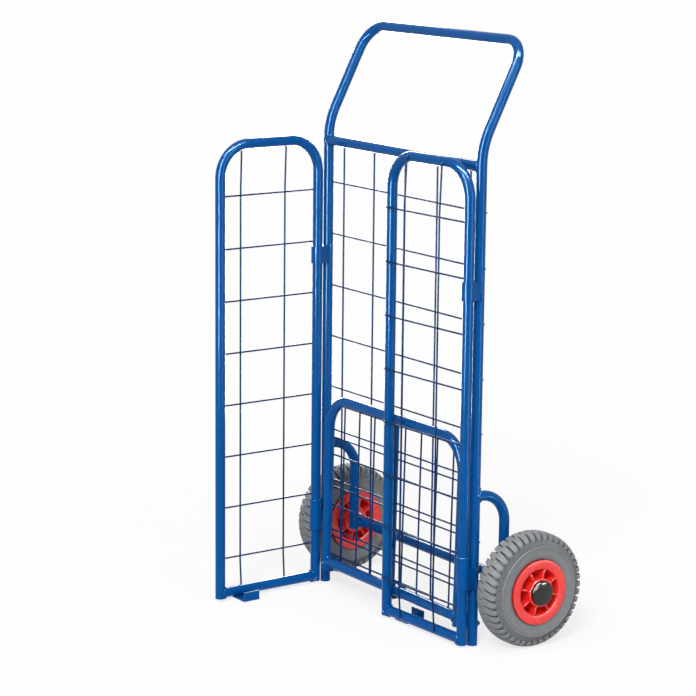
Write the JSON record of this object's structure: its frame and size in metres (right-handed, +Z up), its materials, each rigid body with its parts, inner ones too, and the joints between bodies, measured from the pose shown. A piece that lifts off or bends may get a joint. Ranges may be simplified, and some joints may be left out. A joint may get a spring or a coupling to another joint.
{
  "type": "folding hand cart",
  "caption": "Tubular steel hand cart with a wire-mesh back, hinged mesh side gates, a fold-up mesh toe plate, a leaned-back handle loop and pneumatic wheels with red rims.",
  "frame": {"origin": "on the floor, in the middle of the whole cart's width and depth as stored", "axes": "+X to the right as seen from the load side, -Y out of the load side, +Z up"},
  "size_m": [0.8052, 0.5376, 1.3175],
  "materials": {
    "blue_powder_coat": "gloss",
    "zinc_steel": "satin",
    "tyre_rubber": "matte",
    "inner_tube_rubber": "matte",
    "red_plastic": "gloss",
    "black_plastic": "gloss",
    "bearing_plastic": "satin",
    "valve_brass": "satin"
  },
  "bodies": {
    "frame": {"main_frame_tube": "blue_powder_coat", "upper_crossbar": "blue_powder_coat", "lower_crossbar": "blue_powder_coat", "back_grid_verticals": "blue_powder_coat", "back_grid_horizontals": "blue_powder_coat", "left_wheel_carrier": "blue_powder_coat", "right_wheel_carrier": "blue_powder_coat", "axle_tube": "blue_powder_coat", "axle_rod": "zinc_steel", "axle_washers": "zinc_steel", "axle_retainers": "zinc_steel", "left_upper_hinge_strap": "blue_powder_coat", "right_upper_hinge_strap": "blue_powder_coat", "left_lower_hinge_strap": "blue_powder_coat", "right_lower_hinge_strap": "blue_powder_coat"},
    "left_gate": {"left_gate_tube": "blue_powder_coat", "left_gate_lower_bar": "blue_powder_coat", "left_gate_horizontals": "blue_powder_coat", "left_gate_verticals": "blue_powder_coat", "left_gate_hook": "blue_powder_coat", "left_gate_collar": "blue_powder_coat"},
    "right_gate": {"right_gate_tube": "blue_powder_coat", "right_gate_lower_bar": "blue_powder_coat", "right_gate_horizontals": "blue_powder_coat", "right_gate_verticals": "blue_powder_coat", "right_gate_hook": "blue_powder_coat", "right_gate_collar": "blue_powder_coat"},
    "toe_plate": {"toe_tube": "blue_powder_coat", "toe_centre_strut": "blue_powder_coat", "toe_lower_bars": "blue_powder_coat", "toe_horizontals": "blue_powder_coat", "toe_verticals": "blue_powder_coat", "toe_left_hinge_strap": "blue_powder_coat", "toe_centre_hinge_strap": "blue_powder_coat", "toe_right_hinge_strap": "blue_powder_coat"},
    "left_wheel": {"left_tyre": "tyre_rubber", "left_inner_tube": "inner_tube_rubber", "left_rim": "red_plastic", "left_valve": "valve_brass", "left_bearings": "bearing_plastic", "left_hub_cap": "black_plastic"},
    "right_wheel": {"right_tyre": "tyre_rubber", "right_inner_tube": "inner_tube_rubber", "right_rim": "red_plastic", "right_valve": "valve_brass", "right_bearings": "bearing_plastic", "right_hub_cap": "black_plastic"}
  },
  "joints": [
    {"name": "left_gate_swing", "type": "hinge", "parent": "frame", "child": "left_gate", "pos_m": [-0.2875, 0.00768, 0], "axis": [0, 0, 1], "range_deg": [-66, 86.3]},
    {"name": "right_gate_swing", "type": "hinge", "parent": "frame", "child": "right_gate", "pos_m": [0.2875, 0.00768, 0], "axis": [0, 0, 1], "range_deg": [0, 152]},
    {"name": "toe_plate_fold", "type": "hinge", "parent": "frame", "child": "toe_plate", "pos_m": [0, 0.04268, 0.046], "axis": [1, 0, 0], "range_deg": [0, 1.1]},
    {"name": "left_wheel_spin", "type": "hinge", "parent": "frame", "child": "left_wheel", "pos_m": [-0.3504, 0.14128, 0.1275], "axis": [1, 0, 0], "continuous": true},
    {"name": "right_wheel_spin", "type": "hinge", "parent": "frame", "child": "right_wheel", "pos_m": [0.3504, 0.14128, 0.1275], "axis": [1, 0, 0], "continuous": true}
  ]
}
